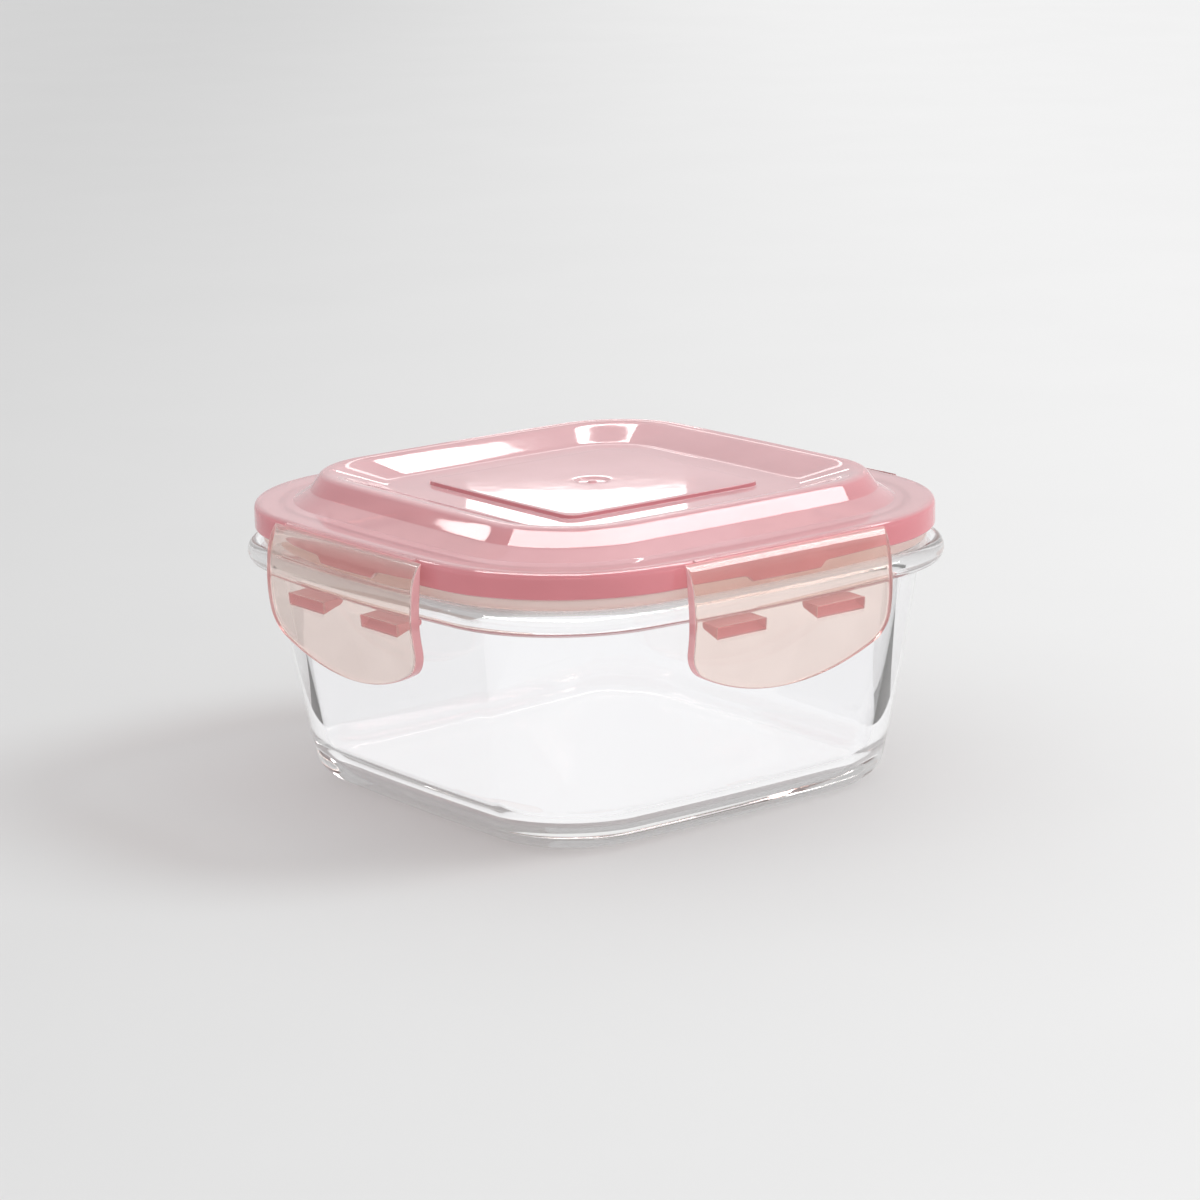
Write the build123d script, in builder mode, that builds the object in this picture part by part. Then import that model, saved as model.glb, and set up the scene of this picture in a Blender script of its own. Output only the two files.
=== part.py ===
from build123d import *
import os
from math import atan, sqrt, tan

# Square pressed-glass food container with a one-piece snap lid.
# Origin: centre of the base where it stands, +Z up, sides square to X and Y.
# All sizes are in millimetres. "Half" is half the size across, measured at the middle of a side.

# glass dish
base_half = 59.2  # outer wall carried down to the standing plane, before the heel is rounded
base_corner = 24.0
heel_radius = 8.0
wall_top_half = 70.0  # outer wall just under the flange
wall_top_corner = 31.0
glass_wall = 4.2
floor_thickness = 5.0
inner_heel_radius = 9.0
flange_half = 76.7
flange_corner = 38.5
flange_low = 58.6
rim_top = 64.3
flange_round = 2.8
mouth_round = 1.2
straight_side = 1500.0  # side radius where a side is all but straight
bowed_side = 450.0  # side radius of the flange and of the lid, which bow out a little

# lid
seal_squeeze = 0.1  # gap left between the seal and the rim
skirt_half = 76.0
skirt_corner = 42.8
skirt_low = 67.5
skirt_wall = 2.0
ledge_top = 74.3
shoulder_round = 1.8
lid_wall = 2.0
ridge_foot_half = 65.3
ridge_foot_corner = 34.0
ridge_bend_half = 60.5
ridge_bend_corner = 28.0
ridge_bend_z = 77.0
ridge_top_half = 57.2
ridge_top_corner = 24.0
ridge_top = 81.2
ridge_round = 2.2
ridge_inner_half = 54.0  # where the ridge starts to slope down to the sunk middle
ridge_inner_corner = 21.0
well_half = 42.5
well_corner = 15.0
well_z = 77.3
pad_half = 31.2  # low square pad in the middle of the well
pad_corner = 4.0
pad_top = 78.4
pad_edge = 0.3
gate_radius = 4.8
gate_depth = 0.5
nub_radius = 0.9
nub_height = 0.4
tab_width = 24.0  # low tab in the middle of each skirt side
tab_depth = 8.0  # depth of the block that cuts a tab out of the skirt's outline
tab_drop = 1.4

# an outline's edges, four sides and four corners, and how close to a level they are looked for
outline_edges = 8
level_band = 0.01

# seal and the groove that holds it
groove_gap = 0.15
seal_width = 4.2
groove_rib = 1.6
rib_low = 66.0

# latch flaps
hinge_half = 76.1
hinge_z = 73.6
film_radius = 0.3
film_length = 56.0
flap_half_width = 31.6
flap_low = 38.8
flap_corner_z = 47.8  # where the sides would meet the curved lower edge
flap_corner = 8.0
flap_thickness = 2.8
flap_overrun = 1.0  # how far the section is drawn past the tip, to be trimmed
catch_start = 8.2  # from the middle of the flap
catch_length = 15.3
catch_low = 54.6
catch_high = 57.5
catch_foot = 77.6  # inside the thickness of the flap
catch_tip = 70.7
catch_tip_low_rise = 1.6  # the tip stands higher than the foot, more so underneath
catch_tip_high_rise = 0.4
catch_draft = 0.1

sides = {"right": 0, "back": 90, "left": 180, "front": 270}


def bowed_square(half, side_radius, corner_radius):
    """Square whose sides are arcs of a large radius, with rounded corners."""
    middle = half - side_radius
    corner = (middle + sqrt(2 * side_radius**2 - middle**2)) / 2
    with BuildSketch(Plane.XY, mode=Mode.PRIVATE) as outline:
        with BuildLine():
            ThreePointArc((corner, -corner), (half, 0), (corner, corner))
            ThreePointArc((corner, corner), (0, half), (-corner, corner))
            ThreePointArc((-corner, corner), (-half, 0), (-corner, -corner))
            ThreePointArc((-corner, -corner), (0, -half), (corner, -corner))
        make_face()
        fillet(outline.vertices(), corner_radius)
    return outline.sketch


def wall_half(height):
    """Half size of the sloping outer glass wall at a height."""
    return base_half + (wall_top_half - base_half) * height / flange_low


def wall_corner(height):
    """Corner radius of the outer glass wall at a height."""
    return base_corner + (wall_top_corner - base_corner) * height / flange_low


# Dish: sloping walls with a round heel, a bead flange round the mouth, and a hollow with a round inner heel.
with BuildPart() as glass_dish:
    with BuildSketch(Plane.XY):
        add(bowed_square(base_half, straight_side, base_corner))
    with BuildSketch(Plane.XY.offset(flange_low)):
        add(bowed_square(wall_top_half, bowed_side, wall_top_corner))
    loft()
    fillet(glass_dish.edges().group_by(Axis.Z)[0], heel_radius)
    with BuildSketch(Plane.XY.offset(flange_low)):
        add(bowed_square(flange_half, bowed_side, flange_corner))
    extrude(amount=rim_top - flange_low)
    rim_edges = glass_dish.edges().group_by(Axis.Z)[-1]
    low_edges = glass_dish.edges().filter_by_position(
        Axis.Z, flange_low - level_band, flange_low + level_band
    )
    bead_edges = low_edges.sort_by(lambda edge: -edge.center().X**2 - edge.center().Y**2)[:outline_edges]
    fillet(rim_edges + bead_edges, flange_round)
    with BuildSketch(Plane.XY.offset(floor_thickness)):
        inner_half = wall_half(floor_thickness) - glass_wall
        add(bowed_square(inner_half, straight_side, wall_corner(floor_thickness) - glass_wall))
    with BuildSketch(Plane.XY.offset(rim_top)):
        add(bowed_square(wall_half(rim_top) - glass_wall, bowed_side, wall_corner(rim_top) - glass_wall))
    loft(mode=Mode.SUBTRACT)
    floor_edges = glass_dish.edges().filter_by_position(
        Axis.Z, floor_thickness - level_band, floor_thickness + level_band
    )
    fillet(floor_edges, inner_heel_radius)
    mouth_edges = glass_dish.faces().sort_by(Axis.Z)[-1].inner_wires()[0].edges()
    fillet(mouth_edges, mouth_round)
glass_dish.part.label = "glass_dish"


# Space under the lid: inside the skirt, and up into the ridge round the sunk middle. The under face of the
# well and its slope lies a wall thickness away, so its corner moves out by the wall times tan(slope / 2).
well_slope = atan((ridge_top - well_z) / (ridge_inner_half - well_half))
under_shift = lid_wall * tan(well_slope / 2)
with BuildPart() as lid_hollow:
    with BuildSketch(Plane.XY.offset(skirt_low)):
        add(bowed_square(skirt_half - skirt_wall, bowed_side, skirt_corner - skirt_wall))
    extrude(amount=ledge_top - lid_wall - skirt_low)
    with BuildSketch(Plane.XY.offset(ledge_top - lid_wall)):
        add(bowed_square(ridge_foot_half - lid_wall, straight_side, ridge_foot_corner - lid_wall))
    with BuildSketch(Plane.XY.offset(ridge_bend_z - lid_wall)):
        add(bowed_square(ridge_bend_half - lid_wall, straight_side, ridge_bend_corner - lid_wall))
    loft()
    with BuildSketch(Plane.XY.offset(ridge_bend_z - lid_wall)):
        add(bowed_square(ridge_bend_half - lid_wall, straight_side, ridge_bend_corner - lid_wall))
    with BuildSketch(Plane.XY.offset(ridge_top - lid_wall)):
        add(bowed_square(ridge_top_half - lid_wall, straight_side, ridge_top_corner - lid_wall))
    loft()
    with BuildSketch(Plane.XY.offset(well_z - lid_wall)):
        add(bowed_square(well_half + under_shift, straight_side, well_corner + under_shift))
    with BuildSketch(Plane.XY.offset(ridge_top - lid_wall)):
        add(bowed_square(ridge_inner_half + under_shift, straight_side, ridge_inner_corner + under_shift))
    loft(mode=Mode.SUBTRACT)

# Lid: skirt and flat ledge, a ridge round a sunk well with a low square pad, the gate mark, the seal groove.
groove_outer_half = skirt_half - skirt_wall
seal_outer_half = groove_outer_half - groove_gap
seal_inner_half = seal_outer_half - seal_width
rib_outer_half = seal_inner_half - groove_gap
with BuildPart() as lid:
    with BuildSketch(Plane.XY.offset(skirt_low)):
        add(bowed_square(skirt_half, bowed_side, skirt_corner))
    extrude(amount=ledge_top - skirt_low)
    fillet(lid.edges().group_by(Axis.Z)[-1], shoulder_round)
    with BuildSketch(Plane.XY.offset(ledge_top)):
        add(bowed_square(ridge_foot_half, straight_side, ridge_foot_corner))
    with BuildSketch(Plane.XY.offset(ridge_bend_z)):
        add(bowed_square(ridge_bend_half, straight_side, ridge_bend_corner))
    loft()
    with BuildSketch(Plane.XY.offset(ridge_bend_z)):
        add(bowed_square(ridge_bend_half, straight_side, ridge_bend_corner))
    with BuildSketch(Plane.XY.offset(ridge_top)):
        add(bowed_square(ridge_top_half, straight_side, ridge_top_corner))
    loft()
    fillet(lid.edges().group_by(Axis.Z)[-1], ridge_round)
    with BuildSketch(Plane.XY.offset(well_z)):
        add(bowed_square(well_half, straight_side, well_corner))
    with BuildSketch(Plane.XY.offset(ridge_top)):
        add(bowed_square(ridge_inner_half, straight_side, ridge_inner_corner))
    loft(mode=Mode.SUBTRACT)
    with BuildSketch(Plane.XY.offset(well_z)):
        add(bowed_square(pad_half, straight_side, pad_corner))
    extrude(amount=pad_top - well_z)
    level_faces = lid.faces().filter_by(Axis.Z)
    pad_face = level_faces.filter_by_position(Axis.Z, pad_top - level_band, pad_top + level_band)
    fillet(pad_face[0].outer_wire().edges(), pad_edge)
    with BuildSketch(Plane.XY.offset(pad_top)):
        Circle(gate_radius)
    extrude(amount=-gate_depth, mode=Mode.SUBTRACT)
    with BuildSketch(Plane.XY.offset(pad_top - gate_depth)):
        Circle(nub_radius)
    extrude(amount=nub_height)
    add(lid_hollow.part, mode=Mode.SUBTRACT)
    with BuildSketch(Plane.XY.offset(rib_low)):
        add(bowed_square(rib_outer_half, bowed_side, skirt_corner - skirt_half + rib_outer_half))
        rib_inner_half = rib_outer_half - groove_rib
        add(
            bowed_square(rib_inner_half, bowed_side, skirt_corner - skirt_half + rib_inner_half),
            mode=Mode.SUBTRACT,
        )
    extrude(amount=ledge_top - lid_wall / 2 - rib_low)
    for angle in sides.values():
        with BuildSketch(Plane.XY.offset(skirt_low)):
            add(bowed_square(skirt_half, bowed_side, skirt_corner))
            add(bowed_square(groove_outer_half, bowed_side, skirt_corner - skirt_wall), mode=Mode.SUBTRACT)
            with Locations(Rot(0, 0, angle)):
                with Locations((skirt_half, 0)):
                    Rectangle(tab_depth, tab_width, mode=Mode.INTERSECT)
        extrude(amount=-tab_drop)
lid.part.label = "lid"

# Silicone seal: a flat-sided ring in the groove, standing on the glass rim.
with BuildPart() as seal_ring:
    with BuildSketch(Plane.XY.offset(rim_top + seal_squeeze)):
        add(bowed_square(seal_outer_half, bowed_side, skirt_corner - skirt_half + seal_outer_half))
        add(
            bowed_square(seal_inner_half, bowed_side, skirt_corner - skirt_half + seal_inner_half),
            mode=Mode.SUBTRACT,
        )
    extrude(amount=ledge_top - lid_wall - groove_gap - rim_top - seal_squeeze)
seal_ring.part.label = "seal_ring"

# Latch flap on the +X side: its section runs from the thin root beside the hinge, out over the glass bead
# and back in towards the tip. Each point is (distance from the middle of the dish, height).
root_inner = (76.5, 73.15)
root_outer = (76.45, 73.75)
neck_inner = [(76.55, 72.0), (76.6, 70.0), (76.75, 67.5)]
neck_outer = [(77.3, 72.9), (78.2, 71.4), (79.05, 69.3), (79.55, 67.0)]
inner_face = [(76.95, 65.0), (77.2, 61.0), (77.0, 56.0), (75.9, 49.5), (73.7, flap_low - flap_overrun)]
outer_face = [(x + flap_thickness, z) for x, z in inner_face]
with BuildPart() as latch_flap:
    with BuildSketch(Plane.XZ):
        with BuildLine():
            Spline(root_inner, *neck_inner, *inner_face)
            Line(inner_face[-1], outer_face[-1])
            Spline(*reversed(outer_face), *reversed(neck_outer), root_outer)
            Line(root_outer, root_inner)
        make_face()
    extrude(amount=flap_half_width, both=True)
    with BuildSketch(Plane.YZ.offset(catch_tip)) as flap_outline:
        with BuildLine():
            Polyline(
                (flap_half_width, flap_corner_z),
                (flap_half_width, hinge_z + flap_thickness),
                (-flap_half_width, hinge_z + flap_thickness),
                (-flap_half_width, flap_corner_z),
            )
            ThreePointArc(
                (-flap_half_width, flap_corner_z), (0, flap_low), (flap_half_width, flap_corner_z)
            )
        make_face()
        fillet(flap_outline.vertices().group_by(Axis.Y)[0], flap_corner)
    extrude(amount=hinge_half - catch_tip + 2 * flap_thickness, mode=Mode.INTERSECT)
    for side in (-1, 1):
        with BuildSketch(Plane.XZ.offset(-side * (catch_start + catch_length / 2))):
            with BuildLine():
                Polyline(
                    (catch_foot, catch_low),
                    (catch_foot, catch_high),
                    (catch_tip, catch_high + catch_tip_high_rise),
                    (catch_tip - catch_draft, catch_low + catch_tip_low_rise),
                    close=True,
                )
            make_face()
        extrude(amount=catch_length / 2, both=True)

# Living hinge film: the round thin strip between the ledge and the flap, on the hinge axis.
with BuildPart() as hinge_film:
    with BuildSketch(Plane.XZ):
        with Locations((hinge_half, hinge_z)):
            Circle(film_radius)
    extrude(amount=film_length / 2, both=True)

os.makedirs("parts", exist_ok=True)
for piece in (glass_dish, lid, seal_ring):
    export_step(piece.part, f"parts/{piece.part.label}.step")
for side, angle in sides.items():
    for name, piece in (("latch_flap", latch_flap), ("hinge_film", hinge_film)):
        turned = piece.part.rotate(Axis.Z, angle)
        turned.label = f"{name}_{side}"
        export_step(turned, f"parts/{turned.label}.step")
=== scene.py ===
from math import atan2, cos, pi, radians, sin, sqrt, tan

import bpy
import numpy as np
from mathutils import Matrix, Vector


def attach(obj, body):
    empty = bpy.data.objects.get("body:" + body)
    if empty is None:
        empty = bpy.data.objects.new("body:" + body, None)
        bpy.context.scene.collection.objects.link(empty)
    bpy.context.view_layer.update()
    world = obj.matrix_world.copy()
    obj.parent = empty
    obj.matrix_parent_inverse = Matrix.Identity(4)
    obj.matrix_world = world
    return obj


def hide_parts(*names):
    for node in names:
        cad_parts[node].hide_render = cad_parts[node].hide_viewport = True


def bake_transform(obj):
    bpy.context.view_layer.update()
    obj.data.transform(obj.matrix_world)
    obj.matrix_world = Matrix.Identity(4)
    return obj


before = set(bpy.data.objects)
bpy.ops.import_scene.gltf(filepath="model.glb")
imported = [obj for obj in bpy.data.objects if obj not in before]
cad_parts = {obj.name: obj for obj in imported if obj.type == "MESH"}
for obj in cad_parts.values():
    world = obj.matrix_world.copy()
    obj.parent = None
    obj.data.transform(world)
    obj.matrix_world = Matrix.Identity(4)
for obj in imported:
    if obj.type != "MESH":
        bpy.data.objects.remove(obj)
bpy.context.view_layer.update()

bl_info = {
    "name": "Snap-lid glass food container",
    "version": (1, 0, 0),
    "blender": (4, 5, 0),
    "location": "View3D > Sidebar > Container",
    "description": "Builds a square pressed-glass food container with a pink four-latch lid",
    "category": "Add Mesh",
}

MM = 0.001
STRAIGHT = 1500 * MM  # bow radius of sides that are nearly straight
BOWED = 450 * MM  # bow radius of the sides of the bead, skirt and seal
SIDES = {"right": 0, "back": 90, "left": 180, "front": 270}  # degrees from +X, about the upright axis
SIDE_COLUMNS = 46  # grid columns along one side of a ring
CORNER_COLUMNS = 30  # grid columns round one corner of a ring
ARC_ROWS = 9  # grid rows round one rounded bend of a profile
SHARP_EDGE = 38  # faces that meet at a steeper angle than this, in degrees, keep a sharp edge
NECK_LOW = 70 * MM  # height where the flap's neck ends, and its catches and lower edge begin
NECK_ROWS = 10
FILM_ROWS = 15
FILM_COLUMNS = 57
FLOOR_RADIUS = 9
FLOOR_RINGS = 40
FLOOR_SPOKES = 96
CARD_LIFT = 0.4 * MM  # how far the cards that lie on the floor stand above it
BOX_DISTANCE = 0.9  # from the lid to each soft box
MIRRORED_LIMIT = 2.5  # light that has been mirrored more often than this passes through clear walls


# ---------------------------------------------------------------- surfaces


def bowed_rings(half, height, corner, bow, roundness):
    """Rings of a square with bowed sides and rounded corners, one per row, as (rows, columns, 3).

    A side is an arc of radius bow about (half - bow, 0). A corner is an arc of its own radius about
    (k, k), where k puts that centre bow - corner away from the side's centre, so the two arcs touch.
    The other three sides are the first turned by quarter turns. Roundness 1 swaps the outline for a
    circle of radius half, and values between give a mean of the two, column by column.
    """
    given = (half, height, corner, bow, roundness)
    half, height, corner, bow, roundness = (np.asarray(v, float)[:, None] for v in given)
    middle = half - bow
    centre = (middle + np.sqrt(2 * (bow - corner) ** 2 - middle**2)) / 2
    touch = np.arctan2(centre, centre - middle)
    along = np.linspace(-1, 1, SIDE_COLUMNS, endpoint=False)[None]
    round_corner = np.linspace(0, 1, CORNER_COLUMNS, endpoint=False)[None]
    side_angle = touch * along
    corner_angle = touch + (pi / 2 - 2 * touch) * round_corner
    x = np.hstack([middle + bow * np.cos(side_angle), centre + corner * np.cos(corner_angle)])
    y = np.hstack([bow * np.sin(side_angle), centre + corner * np.sin(corner_angle)])
    columns = SIDE_COLUMNS + CORNER_COLUMNS
    even = (np.arange(columns)[None] - SIDE_COLUMNS / 2) * (pi / 2 / columns)
    x = (1 - roundness) * x + roundness * half * np.cos(even)
    y = (1 - roundness) * y + roundness * half * np.sin(even)
    quarters = [(x, y), (-y, x), (-x, -y), (y, -x)]
    ring_x = np.hstack([q[0] for q in quarters])
    ring_y = np.hstack([q[1] for q in quarters])
    return np.stack([ring_x, ring_y, np.broadcast_to(height, ring_x.shape)], axis=2)


def rounded_profile(stations, spacing, closed=False):
    """Rows of (half, height, corner, bow, roundness) along a profile with rounded bends.

    Each station is (half, height, corner, bow, roundness, bend radius). At a bend, an arc of the bend
    radius touches both legs, its centre on their bisector at radius / sin(half the angle). A point of
    the arc is written as the bend plus a share of each leg, and the same shares carry the corner, bow
    and roundness, so they change smoothly too. Straight runs are cut to at most the spacing.
    """
    stations = np.array(stations, float)
    count = len(stations)
    runs = []
    for i in range(count):
        here = stations[i, :5]
        radius = stations[i, 5]
        if radius == 0 or (not closed and i in (0, count - 1)):
            runs.append(here[None])
            continue
        before = stations[i - 1, :5] - here
        after = stations[(i + 1) % count, :5] - here
        leg_in = before[:2] / np.hypot(*before[:2])
        leg_out = after[:2] / np.hypot(*after[:2])
        angle = np.arccos(np.clip(leg_in @ leg_out, -1, 1))
        bisector = (leg_in + leg_out) / np.hypot(*(leg_in + leg_out))
        centre = bisector * radius / sin(angle / 2)
        touch = radius / np.tan(angle / 2)
        start = leg_in * touch - centre
        end = leg_out * touch - centre
        turn = np.arccos(np.clip(start @ end / radius**2, -1, 1))
        share = np.linspace(0, 1, ARC_ROWS)[:, None]
        arc = (np.sin((1 - share) * turn) * start + np.sin(share * turn) * end) / sin(turn) + centre
        legs = np.linalg.solve(np.stack([before[:2], after[:2]], axis=1), arc.T)
        runs.append(here + legs[0][:, None] * before + legs[1][:, None] * after)
    rows = []
    links = count if closed else count - 1
    for i in range(count):
        rows.append(runs[i])
        if i < links:
            first = runs[i][-1]
            last = runs[(i + 1) % count][0]
            steps = int(np.hypot(*(last - first)[:2]) / spacing)
            share = np.linspace(0, 1, steps + 2)[1:-1, None]
            rows.append(first + share * (last - first))
    return np.vstack(rows)


def ring_mesh(name, rings, closed=False):
    """Skin over rings: a quad between each pair of neighbours, facing along (round) x (along the rows).

    A closed skin joins its last ring to its first. An open one has a single point in place of its first
    and last ring, at their middle, with a fan of triangles round it, so that it is closed too.
    """
    rows, columns, _ = rings.shape
    index = np.arange(rows * columns).reshape(rows, columns)
    near = index if closed else index[:-1]
    far = np.roll(index, -1, axis=0) if closed else index[1:]
    quads = np.stack([near, np.roll(near, -1, axis=1), np.roll(far, -1, axis=1), far], axis=2)
    points = rings.reshape(-1, 3)
    faces = quads.reshape(-1, 4).tolist()
    if not closed:
        poles = rings[[0, -1]].mean(axis=1)
        first_pole = len(points)
        points = np.vstack([points, poles])
        low = index[0]
        high = index[-1]
        low_fan = np.stack([np.roll(low, -1), low, np.full(columns, first_pole)], axis=1)
        high_fan = np.stack([high, np.roll(high, -1), np.full(columns, first_pole + 1)], axis=1)
        faces += low_fan.tolist() + high_fan.tolist()
    return mesh_object(name, points, faces)


def plate_mesh(name, front, back):
    """Closed plate between two grids of the same size: both sheets, and a band joining their borders."""
    rows, columns, _ = front.shape
    index = np.arange(rows * columns).reshape(rows, columns)
    sheet = np.stack([index[:-1, :-1], index[1:, :-1], index[1:, 1:], index[:-1, 1:]], axis=2)
    sheet = sheet.reshape(-1, 4)
    border = np.concatenate([index[0, :-1], index[:-1, -1], index[-1, :0:-1], index[:0:-1, 0]])
    following = np.roll(border, -1)
    shift = rows * columns
    band = np.stack([border, following, following + shift, border + shift], axis=1)
    faces = np.vstack([sheet, sheet[:, ::-1] + shift, band])
    return mesh_object(name, np.vstack([front.reshape(-1, 3), back.reshape(-1, 3)]), faces.tolist())


def mesh_object(name, points, faces):
    """Object at the origin, smooth shaded, with its edges kept sharp where faces meet steeply."""
    mesh = bpy.data.meshes.new(name)
    mesh.from_pydata(np.asarray(points, float).tolist(), [], faces)
    mesh.update()
    mesh.polygons.foreach_set("use_smooth", np.ones(len(mesh.polygons), bool))
    mesh.set_sharp_from_angle(angle=radians(SHARP_EDGE))
    piece = bpy.data.objects.new(name, mesh)
    bpy.context.scene.collection.objects.link(piece)
    return piece


def mark_painted_depth(piece, flat, thick=None):
    """Point attribute "wall", for how much painted depth of pink the plastic gets: 0 where the surface faces
    along the flat direction and 1 where it stands edge on to it, as 1 - |normal . flat|, or the thick share
    where that is more. It drives painted light: faces along the flat direction get a painted pale sheen,
    walls and edges a painted deeper pink."""
    normals = np.empty(len(piece.data.vertices) * 3)
    piece.data.vertices.foreach_get("normal", normals)
    wall = 1 - np.abs(normals.reshape(-1, 3) @ np.array(flat, float))
    if thick is not None:
        wall = np.maximum(wall, thick)
    piece.data.attributes.new("wall", "FLOAT", "POINT").data.foreach_set("value", wall)


def spline_through(points, samples):
    """Points of a smooth curve through the given ones: Catmull-Rom pieces, each a cubic whose slope at a
    point is half the step between its neighbours."""
    points = np.array(points, float)
    ends = np.vstack([2 * points[0] - points[1], points, 2 * points[-1] - points[-2]])
    place = np.linspace(0, len(points) - 1, samples)
    span = np.minimum(place.astype(int), len(points) - 2)
    t = (place - span)[:, None]
    a, b, c, d = (ends[span + k] for k in range(4))
    square = 2 * a - 5 * b + 4 * c - d
    cube = 3 * b - a - 3 * c + d
    return 0.5 * (2 * b + (c - a) * t + square * t**2 + cube * t**3)


def smooth_step(value, low, high):
    """0 below low, 1 above high and 3t2 - 2t3 between."""
    t = np.clip((value - low) / (high - low), 0, 1)
    return t * t * (3 - 2 * t)


def turned(points, degrees):
    """Points turned about the upright axis."""
    c, s = cos(radians(degrees)), sin(radians(degrees))
    return points @ np.array([[c, s, 0], [-s, c, 0], [0, 0, 1]])


# ---------------------------------------------------------------- materials


def linear(code, alpha=1.0):
    """Linear RGBA of an sRGB hex colour such as "F2C4C4"."""
    srgb = [int(code[i : i + 2], 16) / 255 for i in (0, 2, 4)]
    return tuple(v / 12.92 if v <= 0.04045 else ((v + 0.055) / 1.055) ** 2.4 for v in srgb) + (alpha,)


def add_node(tree, kind, settings=None, values=None, links=None):
    """Adds a node, sets its properties and unlinked inputs, and links its inputs to given outputs."""
    node = tree.nodes.new(kind)
    for key, value in (settings or {}).items():
        setattr(node, key, value)
    for key, value in (values or {}).items():
        node.inputs[key].default_value = value
    for key, output in (links or {}).items():
        tree.links.new(output, node.inputs[key])
    return node


def new_material(name):
    """Empty node material and its output node."""
    material = bpy.data.materials.new(name)
    material.use_nodes = True
    tree = material.node_tree
    tree.nodes.clear()
    return material, tree, add_node(tree, "ShaderNodeOutputMaterial")


def noise(tree, length, detail, roughness=0.5):
    """Strength of a noise in the object's own space, whose features are about the given length."""
    place = add_node(tree, "ShaderNodeTexCoord").outputs["Object"]
    values = {"Scale": 1 / length, "Detail": detail, "Roughness": roughness}
    return add_node(tree, "ShaderNodeTexNoise", values=values, links={"Vector": place}).outputs["Fac"]


def bumped(tree, height, strength, distance):
    """Surface normal, tilted as a relief of the given height would tilt it."""
    values = {"Strength": strength, "Distance": distance}
    return add_node(tree, "ShaderNodeBump", values=values, links={"Height": height}).outputs["Normal"]


def mapped(tree, value, ranges, settings=None):
    """A value carried from one range to another."""
    return add_node(tree, "ShaderNodeMapRange", settings, ranges, {"Value": value}).outputs["Result"]


def mixed(tree, factor, first, second, blend="MIX"):
    """Colour between two colours by a factor. The first may be a node's output."""
    values, links = {"B": second}, {"Factor": factor}
    (links if isinstance(first, bpy.types.NodeSocket) else values)["A"] = first
    settings = {"data_type": "RGBA", "blend_type": blend}
    return add_node(tree, "ShaderNodeMix", settings, values, links).outputs["Result"]


def larger(tree, first, second):
    """The larger of two values."""
    links = {0: first, 1: second}
    return add_node(tree, "ShaderNodeMath", {"operation": "MAXIMUM"}, links=links).outputs[0]


def lit_through(tree, shader, tint):
    """Lets lamp light, and light between matt surfaces, pass straight on through a clear wall, tinted, so
    that what stands behind it is lit as it is behind a real one. Light that has been mirrored three times
    passes straight on as well, where it would otherwise be lost."""
    path = add_node(tree, "ShaderNodeLightPath").outputs
    often = {0: path["Glossy Depth"]}
    mirrored = add_node(tree, "ShaderNodeMath", {"operation": "GREATER_THAN"}, {1: MIRRORED_LIMIT}, often)
    passing = larger(tree, path["Is Shadow Ray"], path["Is Diffuse Ray"])
    passing = larger(tree, passing, mirrored.outputs[0])
    clear = add_node(tree, "ShaderNodeBsdfTransparent", values={"Color": tint})
    links = {0: passing, 1: shader.outputs["BSDF"], 2: clear.outputs["BSDF"]}
    return add_node(tree, "ShaderNodeMixShader", links=links).outputs["Shader"]


def pressed_glass(settings):
    """Soda-lime glass, pressed in a steel mould and fire polished: clear, with a faint grey depth
    at its thick edges and slow waves, some 20 mm long, that make reflections swim a little."""
    material, tree, output = new_material("soda_lime_glass_pressed")
    waves = noise(tree, 20 * MM, 1.0, 0.4)
    shader = add_node(
        tree,
        "ShaderNodeBsdfPrincipled",
        values={
            "Base Color": settings.glass_colour[:] + (1,),
            "Roughness": 0.01,
            "IOR": 1.5,
            "Transmission Weight": 1.0,
        },
        links={"Normal": bumped(tree, waves, 0.05, 0.4 * MM)},
    )
    grey = {"Color": linear("D2D0CC"), "Density": 4.0}
    depth = add_node(tree, "ShaderNodeVolumeAbsorption", values=grey)
    tree.links.new(lit_through(tree, shader, linear("F6F6F6")), output.inputs["Surface"])
    tree.links.new(depth.outputs["Volume"], output.inputs["Volume"])
    return material


# the moulded plastics: colour face on (a painted pale sheen of the room and of light seen through), colour
# of edges and walls (a painted deeper pink, standing in for light that travels further inside), tint of the
# light let straight through, how clear face on, how clear at edges and walls, density of the colour inside,
# roughness
PLASTICS = {
    "polypropylene_lid_moulded": ("FAD0D4", "F09CA4", "E0DEDE", 0.46, 0.34, 50, 0.04),
    "polypropylene_flap_moulded": ("FFF1E9", "FAB4B9", "F8F2F0", 0.95, 0.25, 12, 0.03),
    "polypropylene_hinge_film": ("F8CCCF", "F2A4AA", "F8F0F0", 0.8, 0.4, 50, 0.12),
}


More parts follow.
